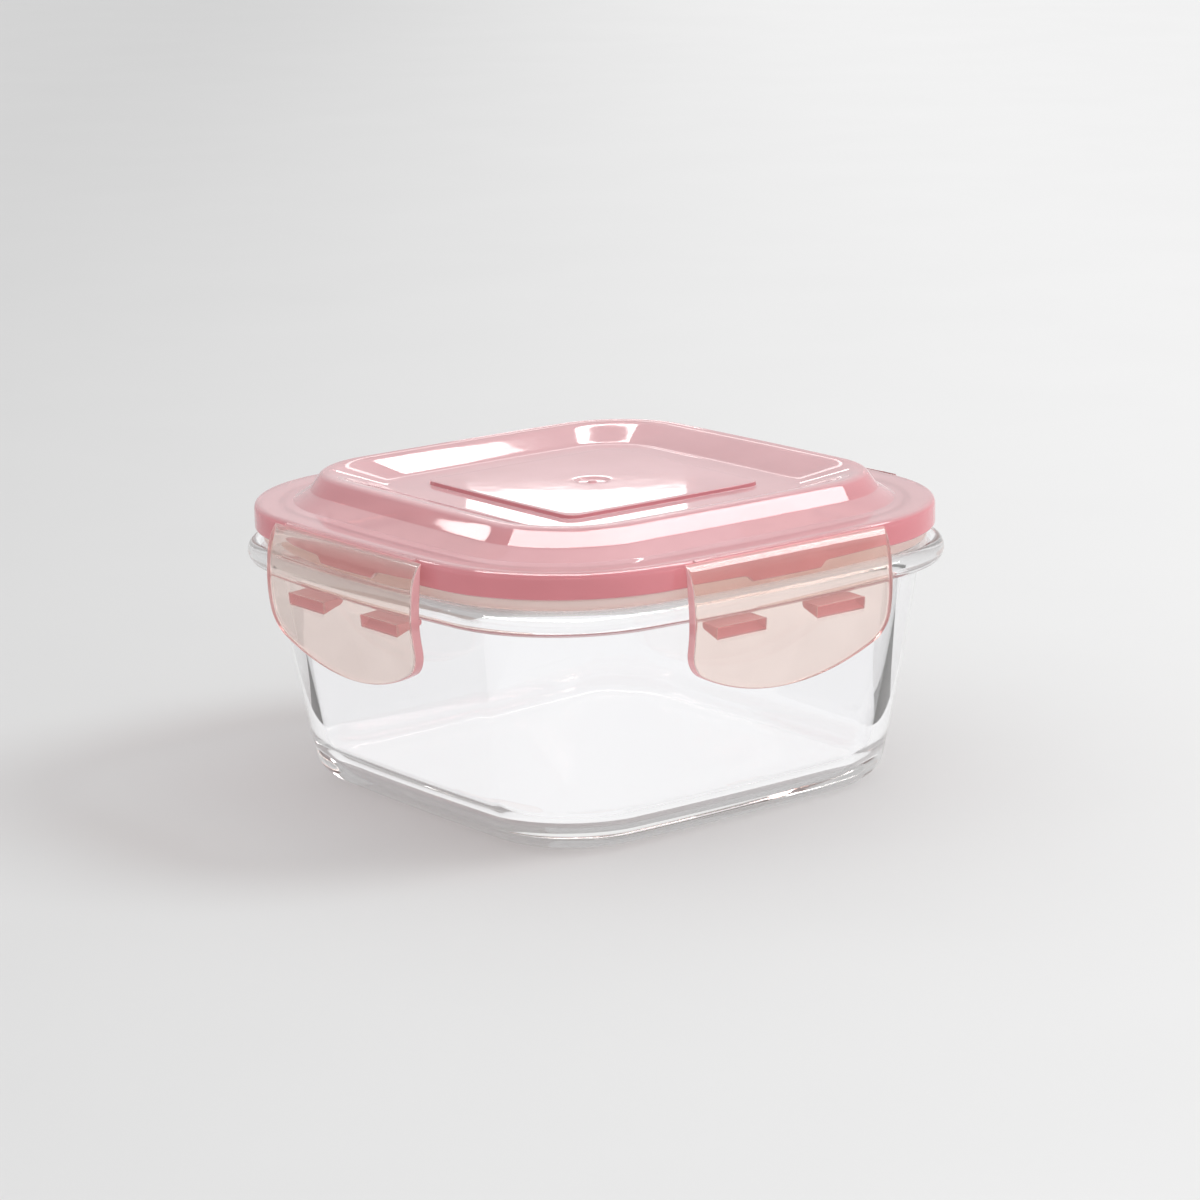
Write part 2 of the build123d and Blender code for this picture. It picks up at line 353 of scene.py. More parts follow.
def moulded_polypropylene(name):
    """Injection-moulded clear polypropylene with a pink tint: slightly milky, waxy gloss. Its colour and
    clearness are painted by how each face is turned: palest where it faces along the piece's flat direction,
    a painted sheen of the room and of light seen through, and deeper pink and less clear along edges and
    walls, a painted depth standing in for light that travels further inside it."""
    flat, wall, passed, clear, wall_clear, density, roughness = PLASTICS[name]
    material, tree, output = new_material(name)
    flow = noise(tree, 14 * MM, 2.0)
    painted_depth_mask = add_node(tree, "ShaderNodeAttribute", {"attribute_name": "wall"}).outputs["Fac"]
    depth = mapped(tree, painted_depth_mask, {"From Min": 0.05, "From Max": 0.6})
    # painted light: the face-on colour is a painted pale sheen and the colour of edges and walls a painted
    # deeper pink, mixed by how steeply each face stands
    tint = mixed(tree, depth, linear(flat), linear(wall))
    shader = add_node(
        tree,
        "ShaderNodeBsdfPrincipled",
        values={"Roughness": roughness, "IOR": 1.49},
        links={
            "Normal": bumped(tree, flow, 0.08, 0.3 * MM),
            "Base Color": mixed(tree, flow, tint, (0.9, 0.88, 0.88, 1), "MULTIPLY"),
            "Transmission Weight": mapped(tree, depth, {"To Min": clear, "To Max": wall_clear}),
        },
    )
    pink = {"Color": linear("F0A0A8"), "Density": density}
    inside = add_node(tree, "ShaderNodeVolumeAbsorption", values=pink)
    tree.links.new(lit_through(tree, shader, linear(passed)), output.inputs["Surface"])
    tree.links.new(inside.outputs["Volume"], output.inputs["Volume"])
    return material


def silicone(settings):
    """Translucent moulded silicone rubber: soft cream-pink, satin, with a fine dusty bloom."""
    material, tree, output = new_material("silicone_rubber_moulded")
    bloom = noise(tree, 0.8 * MM, 3.0)
    shader = add_node(
        tree,
        "ShaderNodeBsdfPrincipled",
        values={"Base Color": settings.seal_colour[:] + (1,), "IOR": 1.41, "Transmission Weight": 0.5},
        links={"Roughness": mapped(tree, bloom, {"To Min": 0.3, "To Max": 0.5})},
    )
    tree.links.new(lit_through(tree, shader, linear("E8D8D2")), output.inputs["Surface"])
    return material


def backdrop_paper(toward_lamp):
    """Matt seamless background paper with a faint tooth, its colour painted a shade lighter towards the lamp
    side as a painted falloff of the lamp's light.
    """
    material, tree, output = new_material("backdrop_paper_matt")
    place = add_node(tree, "ShaderNodeTexCoord").outputs["Object"]
    along = add_node(
        tree, "ShaderNodeVectorMath", {"operation": "DOT_PRODUCT"}, {1: toward_lamp}, {0: place}
    ).outputs["Value"]
    smooth = {"interpolation_type": "SMOOTHSTEP"}
    # painted light: the paper's colour is painted lighter along the direction towards the lamp
    painted_lamp_falloff = mapped(tree, along, {"From Min": -0.42, "From Max": 0.3}, smooth)
    shade = mixed(tree, painted_lamp_falloff, linear("D2D2D2"), linear("F1F1F1"))
    tooth = noise(tree, 90 * MM, 2.0)
    shader = add_node(
        tree,
        "ShaderNodeBsdfPrincipled",
        values={"Roughness": 0.9, "Specular IOR Level": 0.1},
        links={"Base Color": mixed(tree, tooth, shade, (0.97, 0.97, 0.97, 1), "MULTIPLY")},
    )
    tree.links.new(shader.outputs["BSDF"], output.inputs["Surface"])
    return material


def glowing(name, colour, strength):
    """Plain glowing card of the studio, used for the soft boxes seen in the gloss and for the sheets of
    painted glow and painted shade seen through the glass.
    """
    material, tree, output = new_material(name)
    light = add_node(tree, "ShaderNodeEmission", values={"Color": colour, "Strength": strength})
    tree.links.new(light.outputs["Emission"], output.inputs["Surface"])
    return material


def finish_piece(piece, material, nodes):
    """Gives a piece its material and slot, and takes the place of its CAD nodes."""
    piece.data.materials.append(material)
    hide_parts(*nodes)


# ---------------------------------------------------------------- settings


def size(name, description, millimetres):
    """Length property whose default is given in millimetres."""
    return bpy.props.FloatProperty(
        name=name,
        description=description,
        default=millimetres * MM,
        unit="LENGTH",
        subtype="DISTANCE",
        precision=5,
    )


def colour(name, description, code):
    """Colour property whose default is an sRGB hex code."""
    return bpy.props.FloatVectorProperty(
        name=name,
        description=description,
        default=linear(code)[:3],
        size=3,
        subtype="COLOR",
        min=0,
        max=1,
    )


def number(name, description, default):
    """Plain number property."""
    return bpy.props.FloatProperty(name=name, description=description, default=default)


class DishSettings(bpy.types.PropertyGroup):
    """Sizes and tint of the glass dish"""

    base_half: size("Base half width", "Outer wall carried down to the table, from the middle", 59.2)
    base_corner: size("Base corner radius", "Corner radius at the foot", 24)
    heel: size("Heel radius", "Round between the wall and the base", 8)
    wall_half: size("Wall half width", "Outer wall just under the bead", 70)
    wall_corner: size("Wall corner radius", "Corner radius just under the bead", 31)
    glass: size("Wall thickness", "Thickness of the glass wall", 4.2)
    floor: size("Floor thickness", "Thickness of the glass floor", 5)
    inner_heel: size("Inner heel radius", "Round between the floor and the inside wall", 9)
    bead_half: size("Bead half width", "Outside of the bead round the mouth", 76.7)
    bead_corner: size("Bead corner radius", "Corner radius of the bead", 38.5)
    bead_low: size("Bead underside", "Height of the underside of the bead", 58.6)
    bead_round: size("Bead rounding", "Radius of the bead's section", 2.8)
    rim: size("Rim height", "Height of the glass rim", 64.3)
    glass_colour: colour("Glass tint", "Colour of the clear glass", "FEFEFF")


class LidSettings(bpy.types.PropertyGroup):
    """Sizes of the lid moulding and of the seal in its groove"""

    skirt_half: size("Skirt half width", "Outside of the skirt from the middle", 76)
    skirt_corner: size("Skirt corner radius", "Corner radius of the skirt", 42.8)
    skirt_low: size("Skirt bottom", "Height of the skirt's lower edge", 67.5)
    wall: size("Wall thickness", "Thickness of the lid", 2)
    ledge: size("Ledge height", "Height of the flat ledge", 74.3)
    shoulder: size("Shoulder radius", "Round between skirt and ledge", 1.8)
    foot_half: size("Ridge foot half width", "Where the ridge leaves the ledge", 65.3)
    foot_corner: size("Ridge foot corner radius", "Corner radius at the foot of the ridge", 34)
    bend_half: size("Ridge bend half width", "Where the flare turns into the steep wall", 60.5)
    bend_corner: size("Ridge bend corner radius", "Corner radius at the bend", 28)
    bend: size("Ridge bend height", "Height of the bend", 77)
    top_half: size("Ridge top half width", "Outer edge of the ridge top", 57.2)
    top_corner: size("Ridge top corner radius", "Corner radius of the ridge top", 24)
    top: size("Ridge top height", "Height of the lid", 81.2)
    ridge_round: size("Ridge rounding", "Round of the ridge's outer edge", 2.2)
    inner_half: size("Ridge inner half width", "Where the ridge starts to slope down inside", 54)
    inner_corner: size("Ridge inner corner radius", "Corner radius of the ridge's inner edge", 21)
    well_half: size("Well half width", "Half width of the sunk middle's floor", 42.5)
    well_corner: size("Well corner radius", "Corner radius of the sunk middle's floor", 15)
    well: size("Well height", "Height of the sunk middle's floor", 77.3)
    pad_half: size("Pad half width", "Half width of the low square pad", 31.2)
    pad_corner: size("Pad corner radius", "Corner radius of the pad", 4)
    pad: size("Pad height", "Height of the top of the pad", 78.4)
    gate: size("Gate dimple radius", "Radius of the moulding gate's dimple", 4.8)
    tab_half: size("Tab half width", "Half the width of the low tab in each skirt side", 12)
    tab_drop: size("Tab drop", "How far the tab hangs below the skirt", 1.4)
    rib: size("Rib thickness", "Rib that holds the seal", 1.6)
    rib_low: size("Rib bottom", "Height of the rib's lower edge", 66)
    seal_wide: size("Seal width", "Width of the silicone seal", 4.2)
    gap: size("Groove gap", "Clearance round the seal", 0.15)
    seal_low: size("Seal bottom", "Height of the seal's lower face", 64.4)
    seal_colour: colour("Seal colour", "Colour of the silicone", "F6E2DC")


class FlapSettings(bpy.types.PropertyGroup):
    """Sizes of one latch flap and its hinge film"""

    half: size("Flap half width", "Half the width of a latch flap", 31.6)
    low: size("Flap bottom", "Height of the lowest point", 38.8)
    corner_height: size("Flap corner height", "Where the sides would meet the lower edge", 47.8)
    corner: size("Flap corner radius", "Radius of the lower corners", 8)
    edge: size("Edge rounding", "Radius along the flap's edges", 0.55)
    catch_start: size("Catch start", "Inner end of a catch from the middle of the flap", 8.2)
    catch_length: size("Catch length", "Length of a catch", 15.3)
    catch_low: size("Catch bottom", "Height of the catch's lower edge at the flap", 54.6)
    catch_high: size("Catch top", "Height of the catch's upper edge at the flap", 57.5)
    catch_tip: size("Catch tip", "Distance of the catch's tip from the middle of the dish", 70.7)
    hinge_half: size("Hinge distance", "Distance of the hinge axis from the middle", 76.1)
    hinge: size("Hinge height", "Height of the hinge axis", 73.6)
    film: size("Film thickness", "Thickness of the living hinge", 0.4)
    film_length: size("Film length", "Length of the living hinge", 56)


class StageSettings(bpy.types.PropertyGroup):
    """Camera and room light"""

    azimuth: number("Azimuth", "Turn of the camera round the dish, in degrees", 52.34)
    elevation: number("Elevation", "Camera above the table, in degrees", 13.5)
    roll: number("Roll", "Turn of the camera about its own axis, in degrees", 1.28)
    distance: size("Distance", "Camera to the middle of the base", 963)
    right: size("Right shift", "Camera's sideways place", 1.34)
    up: size("Up shift", "Camera's place above the line to the base", 45.33)
    lens: number("Lens", "Focal length on a sensor 36 mm wide, in mm", 110.16)
    world: number("Room light", "Strength of the even room light", 0.78)


# ---------------------------------------------------------------- pieces


class CONTAINER_OT_dish(bpy.types.Operator):
    """Make the glass dish: sloping bowed walls, a thick floor and a round bead at the mouth"""

    bl_idname = "container.dish"
    bl_label = "Glass dish"

    def execute(self, context):
        """The profile runs from the middle of the base out and up the outside, over the bead and rim, and
        down the inside to the middle of the floor. Each of its rows is one bowed ring."""
        s = context.scene.container_dish
        slope = (s.wall_half - s.base_half) / s.bead_low
        spread = (s.wall_corner - s.base_corner) / s.bead_low
        mouth_half = s.base_half + slope * s.rim - s.glass
        mouth_corner = s.base_corner + spread * s.rim - s.glass
        floor_half = s.base_half + slope * s.floor - s.glass
        floor_corner = s.base_corner + spread * s.floor - s.glass
        stations = [
            (0.5 * MM, 0, 0.5 * MM, STRAIGHT, 1, 0),
            (20 * MM, 0, 12 * MM, STRAIGHT, 0.6, 0),
            (s.base_half, 0, s.base_corner, STRAIGHT, 0, s.heel),
            (s.wall_half, s.bead_low, s.wall_corner, BOWED, 0, 0.8 * MM),
            (s.bead_half, s.bead_low, s.bead_corner, BOWED, 0, s.bead_round),
            (s.bead_half, s.rim, s.bead_corner, BOWED, 0, s.bead_round),
            (mouth_half, s.rim, mouth_corner, BOWED, 0, 1.2 * MM),
            (floor_half, s.floor, floor_corner, STRAIGHT, 0, s.inner_heel),
            (20 * MM, s.floor, 12 * MM, STRAIGHT, 0.6, 0),
            (0.5 * MM, s.floor, 0.5 * MM, STRAIGHT, 1, 0),
        ]
        rings = bowed_rings(*rounded_profile(stations, spacing=1.6 * MM).T)
        dish = ring_mesh("dish_glass", rings)
        finish_piece(dish, pressed_glass(s), ["glass_dish"])
        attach(dish, "dish")
        return {"FINISHED"}


class CONTAINER_OT_lid(bpy.types.Operator):
    """Make the lid moulding: skirt, ledge, ridge, sunk middle with its pad and gate mark, and seal groove"""

    bl_idname = "container.lid"
    bl_label = "Lid moulding"

    def execute(self, context):
        """The profile runs from the middle out along the underside, round the rib, the groove and the skirt,
        and back over the ledge, the ridge, the well and the pad to the gate mark. Inside the ridge the
        underside keeps the wall's thickness where it slopes at angle a, by moving out by wall x tan(a / 2).
        The skirt's low tabs come from lowering its bottom rows by a smooth step in the middle of each
        side."""
        s = context.scene.container_lid
        groove_half = s.skirt_half - s.wall
        seal_inner = groove_half - s.gap - s.seal_wide
        rib_half = seal_inner - s.gap
        rib_inner = rib_half - s.rib
        offset = s.skirt_corner - s.skirt_half
        ceiling = s.ledge - s.wall
        slope = atan2(s.top - s.well, s.inner_half - s.well_half)
        shift = s.wall * tan(slope / 2)
        stations = [
            (0.2 * MM, s.well - s.wall, 0.2 * MM, STRAIGHT, 1, 0),
            (8 * MM, s.well - s.wall, 8 * MM, STRAIGHT, 1, 0),
            (20 * MM, s.well - s.wall, 9 * MM, STRAIGHT, 0.4, 0),
            (s.well_half + shift, s.well - s.wall, s.well_corner + shift, STRAIGHT, 0, 5 * MM),
            (s.inner_half + shift, s.top - s.wall, s.inner_corner + shift, STRAIGHT, 0, 0.4 * MM),
            (s.top_half - s.wall, s.top - s.wall, s.top_corner - s.wall, STRAIGHT, 0, 1.2 * MM),
            (s.bend_half - s.wall, s.bend - s.wall, s.bend_corner - s.wall, STRAIGHT, 0, 1.5 * MM),
            (s.foot_half - s.wall, ceiling, s.foot_corner - s.wall, STRAIGHT, 0, 0.5 * MM),
            (rib_inner, ceiling, rib_inner + offset, BOWED, 0, 0.4 * MM),
            (rib_inner, s.rib_low, rib_inner + offset, BOWED, 0, 0.5 * MM),
            (rib_half, s.rib_low, rib_half + offset, BOWED, 0, 0.5 * MM),
            (rib_half, ceiling, rib_half + offset, BOWED, 0, 0.3 * MM),
            (groove_half, ceiling, groove_half + offset, BOWED, 0, 0.3 * MM),
            (groove_half, s.skirt_low, groove_half + offset, BOWED, 0, 0.5 * MM),
            (s.skirt_half, s.skirt_low, s.skirt_corner, BOWED, 0, 0.7 * MM),
            (s.skirt_half, s.ledge, s.skirt_corner, BOWED, 0, s.shoulder),
            (s.foot_half, s.ledge, s.foot_corner, STRAIGHT, 0, 0.5 * MM),
            (s.bend_half, s.bend, s.bend_corner, STRAIGHT, 0, 1.2 * MM),
            (s.top_half, s.top, s.top_corner, STRAIGHT, 0, s.ridge_round),
            (s.inner_half, s.top, s.inner_corner, STRAIGHT, 0, 12 * MM),
            (s.well_half, s.well, s.well_corner, STRAIGHT, 0, 7 * MM),
            (s.pad_half + 0.15 * MM, s.well, s.pad_corner + 0.15 * MM, STRAIGHT, 0, 0.25 * MM),
            (s.pad_half, s.pad, s.pad_corner, STRAIGHT, 0, 0.3 * MM),
            (20 * MM, s.pad, 9 * MM, STRAIGHT, 0.4, 0),
            (s.gate + 3 * MM, s.pad, s.gate, STRAIGHT, 1, 0),
            (s.gate, s.pad, s.gate, STRAIGHT, 1, 1.2 * MM),
            (s.gate - 1.3 * MM, s.pad - 0.5 * MM, s.gate - 1.3 * MM, STRAIGHT, 1, 1 * MM),
            (1.4 * MM, s.pad - 0.55 * MM, 1.4 * MM, STRAIGHT, 1, 0.3 * MM),
            (0.8 * MM, s.pad - 0.1 * MM, 0.8 * MM, STRAIGHT, 1, 0.2 * MM),
            (0.1 * MM, s.pad - 0.08 * MM, 0.1 * MM, STRAIGHT, 1, 0),
        ]
        rings = bowed_rings(*rounded_profile(stations, spacing=1.5 * MM).T)
        across = np.minimum(np.abs(rings[:, :, 0]), np.abs(rings[:, :, 1]))
        outwards = np.maximum(np.abs(rings[:, :, 0]), np.abs(rings[:, :, 1]))
        in_skirt = outwards > groove_half - 0.3 * MM
        run_out = 0.6 * MM
        in_tab = 1 - smooth_step(across, s.tab_half - run_out, s.tab_half + run_out)
        low = 1 - smooth_step(rings[:, :, 2], s.skirt_low + 0.8 * MM, s.skirt_low + 2.5 * MM)
        rings[:, :, 2] -= s.tab_drop * in_tab * low * in_skirt
        lid = ring_mesh("lid_moulding", rings)
        mark_painted_depth(lid, (0, 0, 1))
        finish_piece(lid, moulded_polypropylene("polypropylene_lid_moulded"), ["lid"])
        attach(lid, "lid")
        return {"FINISHED"}


class CONTAINER_OT_seal(bpy.types.Operator):
    """Make the silicone seal ring that stands in the lid's groove, on the glass rim"""

    bl_idname = "container.seal"
    bl_label = "Seal ring"

    def execute(self, context):
        """A closed section of four rounded corners carried round the bowed ring."""
        s = context.scene.container_lid
        outer = s.skirt_half - s.wall - s.gap
        inner = outer - s.seal_wide
        offset = s.skirt_corner - s.skirt_half
        high = s.ledge - s.wall - s.gap
        stations = [
            (inner, s.seal_low, inner + offset, BOWED, 0, 0.9 * MM),
            (outer, s.seal_low, outer + offset, BOWED, 0, 0.9 * MM),
            (outer, high, outer + offset, BOWED, 0, 0.6 * MM),
            (inner, high, inner + offset, BOWED, 0, 0.6 * MM),
        ]
        rings = bowed_rings(*rounded_profile(stations, spacing=1.2 * MM, closed=True).T)
        seal = ring_mesh("seal_ring_silicone", rings, closed=True)
        finish_piece(seal, silicone(s), ["seal_ring"])
        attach(seal, "lid")
        return {"FINISHED"}


# the flap's two faces from the hinge to the tip, in mm: distance from the middle of the dish, height
FLAP_INNER = (
    (76.5, 73.15), (76.55, 72), (76.6, 70), (76.75, 67.5), (76.95, 65), (77.2, 61), (77, 56), (75.9, 49.5),
    (73.7, 37.8),
)
FLAP_OUTER = (
    (76.45, 73.75), (77.3, 72.9), (78.2, 71.4), (79.05, 69.3), (79.55, 67), (79.8, 64), (80, 61), (79.8, 56),
    (78.7, 49.5), (76.5, 37.8),
)
CURVE_POINTS = 400
# from a catch's outline inwards in mm, and the share of its full height reached there
CATCH_RAMP = ((0, 0), (0.06, 0.35), (0.12, 0.7), (0.2, 0.9), (0.4, 0.97), (0.9, 1))


def latch_flap(s):
    """Front and back grids of the flap on the +X side, as (rows, columns, 3).

    Columns stand at fixed places across. Rows first follow each face's own curve down the neck, then stand
    at shared heights past the catches, and share out the rest of the way to the lower edge: an arc through
    the two corner heights and the lowest point, met by a fillet at each side. Close to the outline, at
    distance d from it, each face sinks by r - sqrt(r2 - (r - d)2), which rounds the edges. Each catch is
    the back face pulled in to the tip distance, by the product of one ramp across and one ramp down.
    """
    rise = s.corner_height - s.low
    arc = (s.half**2 + rise**2) / (2 * rise)
    arc_height = s.low + arc
    fillet_x = s.half - s.corner
    fillet_height = arc_height - sqrt((arc - s.corner) ** 2 - fillet_x**2)
    touch_x = fillet_x * arc / (arc - s.corner)
    ramp = np.array(CATCH_RAMP) * [MM, 1]
    edge = s.edge * (1 - np.cos(np.linspace(0, pi / 2, 6)))
    catch_end = s.catch_start + s.catch_length
    positive = np.concatenate([
        np.linspace(0.7 * MM, s.catch_start - 0.4 * MM, 5),
        s.catch_start + ramp[:, 0],
        np.linspace(s.catch_start + 1.8 * MM, catch_end - 1.8 * MM, 9),
        catch_end - ramp[::-1, 0],
        np.linspace(catch_end + 0.4 * MM, s.half - 1.5 * s.edge, 10),
        s.half - edge[::-1],
    ])
    across = np.concatenate([-positive[::-1], [0], positive])
    split = fillet_height + 0.2 * MM
    inner = spline_through(np.array(FLAP_INNER) * MM, CURVE_POINTS)
    outer = spline_through(np.array(FLAP_OUTER) * MM, CURVE_POINTS)
    upper = np.concatenate([
        np.linspace(NECK_LOW, s.catch_high + 0.5 * MM, 9)[1:],
        s.catch_high - ramp[:, 0],
        np.linspace(s.catch_high - 1.2 * MM, s.catch_low + 1.2 * MM, 3)[1:-1],
        s.catch_low + ramp[::-1, 0],
        [split + 0.3 * MM],
    ])
    lower_run = 12 * MM  # about the way from the split to the lower edge
    share = np.concatenate([np.linspace(0, 0.9, 10), 1 - edge[::-1] / lower_run])
    lowest = np.where(
        np.abs(across) < touch_x,
        arc_height - np.sqrt(arc**2 - across**2),
        fillet_height - np.sqrt(np.maximum(s.corner**2 - (np.abs(across) - fillet_x) ** 2, 0)),
    )
    heights = np.vstack([
        np.broadcast_to(upper[:, None], (len(upper), len(across))),
        split + share[:, None] * (lowest - split),
    ])
    wide = np.broadcast_to(across, heights.shape)
    beside = s.half - np.abs(wide)
    below = arc - np.hypot(wide, heights - arc_height)
    round_corner = s.corner - np.hypot(np.abs(wide) - fillet_x, heights - fillet_height)
    reach = (np.abs(wide) - fillet_x) * (arc_height - fillet_height) - fillet_x * (fillet_height - heights)
    in_corner = (heights < fillet_height) & (reach > 0)
    inside = np.where(in_corner, round_corner, np.minimum(beside, below))

    def sunk(distance):
        return s.edge - np.sqrt(s.edge**2 - (s.edge - np.clip(distance, 0, s.edge)) ** 2)

    def face_at(curve, z):
        return np.interp(-z, -curve[:, 1], curve[:, 0])

    sink = sunk(inside)
    front_x = face_at(outer, heights) - sink
    back_x = face_at(inner, heights) + sink
    at_side = np.abs(wide[0])
    lift_across = np.interp(at_side, s.catch_start + ramp[:, 0], ramp[:, 1]) * np.interp(
        -at_side, ramp[:, 0] - catch_end, ramp[:, 1]
    )
    lift_down = np.interp(-heights, ramp[:, 0] - s.catch_high, ramp[:, 1]) * np.interp(
        heights, s.catch_low + ramp[:, 0], ramp[:, 1]
    )
    lift = lift_across * lift_down
    tip_rise = np.interp(heights, [s.catch_low, s.catch_high], [1.6 * MM, 0.4 * MM])
    back_x = back_x - lift * (back_x - s.catch_tip)
    back_z = heights + lift * tip_rise
    front = np.stack([front_x, wide, heights], axis=2)
    back = np.stack([back_x, wide, back_z], axis=2)

    def neck(curve, sign):
        last = np.argmin(np.abs(curve[:, 1] - NECK_LOW))
        line = curve[np.linspace(0, last, NECK_ROWS).astype(int)]
        share = np.linspace(0, 1, NECK_ROWS)[:, None]
        x = line[:, :1] + sign * sunk(s.half - np.abs(across)) * share
        return np.stack(np.broadcast_arrays(x, across, line[:, 1:]), axis=2)

    front = np.concatenate([neck(outer, -1), front])
    back = np.concatenate([neck(inner, 1), back])
    return front, back


class CONTAINER_OT_flaps(bpy.types.Operator):
    """Make the four latch flaps, each with its two catches, and turn them to their sides"""

    bl_idname = "container.flaps"
    bl_label = "Latch flaps"

    def execute(self, context):
        """The catches are painted a deeper pink than the plate, a painted depth standing in for light that
        travels further inside: the back counts as thick where the two faces stand well apart."""
        s = context.scene.container_flap
        front, back = latch_flap(s)
        plastic = moulded_polypropylene("polypropylene_flap_moulded")
        apart = np.hypot(front[..., 0] - back[..., 0], front[..., 2] - back[..., 2])
        # painted depth: where the faces stand apart, the back gets the painted deeper pink of the walls
        catch_painted_depth = smooth_step(apart, 3.3 * MM, 4.5 * MM).ravel()
        thick = np.concatenate([np.zeros(len(catch_painted_depth)), catch_painted_depth])
        for side, degrees in SIDES.items():
            flap = plate_mesh(f"latch_flap_{side}_moulding", turned(front, degrees), turned(back, degrees))
            mark_painted_depth(flap, turned(np.array([1.0, 0, 0]), degrees), thick)
            finish_piece(flap, plastic, [f"latch_flap_{side}"])
            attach(flap, f"flap_{side}")
        return {"FINISHED"}


class CONTAINER_OT_films(bpy.types.Operator):
    """Make the four living-hinge films between the lid's shoulder and the flaps"""

    bl_idname = "container.films"
    bl_label = "Hinge films"

    def execute(self, context):
        """A thin plate over the hinge axis, from the lid's shoulder to the flap's root. Its middle line is a
        parabola that starts level and falls outwards: at share t from -1 to 1 it stands at the axis plus
        reach x t - inset, and at the axis' height plus rise - fall x (t + 1)2. It bends between the two
        ends of a short line through the axis."""
        s = context.scene.container_flap
        plastic = moulded_polypropylene("polypropylene_hinge_film")
        reach, inset = 0.9 * MM, 0.25 * MM
        rise, fall = 0.33 * MM, 0.15 * MM
        across = np.linspace(-s.film_length / 2, s.film_length / 2, FILM_COLUMNS)
        share = np.linspace(-1, 1, FILM_ROWS)[:, None]
        for side, degrees in SIDES.items():
            sheets = []
            for layer in (1, -1):
                x = s.hinge_half + reach * share - inset
                z = s.hinge + rise - fall * (share + 1) ** 2 + layer * s.film / 2
                sheets.append(turned(np.stack(np.broadcast_arrays(x, across, z), axis=2), degrees))
            film = plate_mesh(f"hinge_film_{side}_strip", sheets[1][::-1], sheets[0][::-1])
            finish_piece(film, plastic, [f"hinge_film_{side}"])
            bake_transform(film)
        return {"FINISHED"}


# ---------------------------------------------------------------- stage


def facing(centre, aim, width, height):
    """Half-width and half-height vectors of an upright rectangle at the centre that faces the aim."""
    look = (Vector(aim) - Vector(centre)).normalized()
    across = look.cross(Vector((0, 0, 1))).normalized()
    return across * width / 2, across.cross(look) * height / 2


def card(name, centre, across, up, material, through):
    """Flat card through a centre, spanned by its half-width and half-height vectors. It is seen only in the
    gloss of the object, or through it."""
    centre, across, up = (np.array(v, float) for v in (centre, across, up))
    corners = [centre - across - up, centre + across - up, centre + across + up, centre - across + up]
    piece = mesh_object(name, corners, [(0, 1, 2, 3)])
    piece.data.materials.append(material)
    piece.visible_camera = False
    piece.visible_diffuse = False
    piece.visible_shadow = False
    piece.visible_transmission = through
    piece.visible_glossy = not through
    return piece


# soft boxes mirrored in the lid: name, degrees round from the camera, degrees above the lid, width, height,
# strength
SOFT_BOXES = (
    ("soft_box_front", -30, 57, 1.1, 0.34, 14),
    ("soft_box_front_right", 50, 55, 0.75, 0.3, 14),
    ("soft_box_right", 84, 46, 0.1, 0.2, 12),
    ("soft_box_left", -109, 32, 0.14, 0.1, 12),
    ("soft_box_back", 179, 22, 0.2, 0.04, 3),
    ("soft_box_far_left", 172, 39, 0.3, 0.03, 9),
    ("soft_box_pad", -179.4, 12.7, 0.11, 0.02, 5),
)


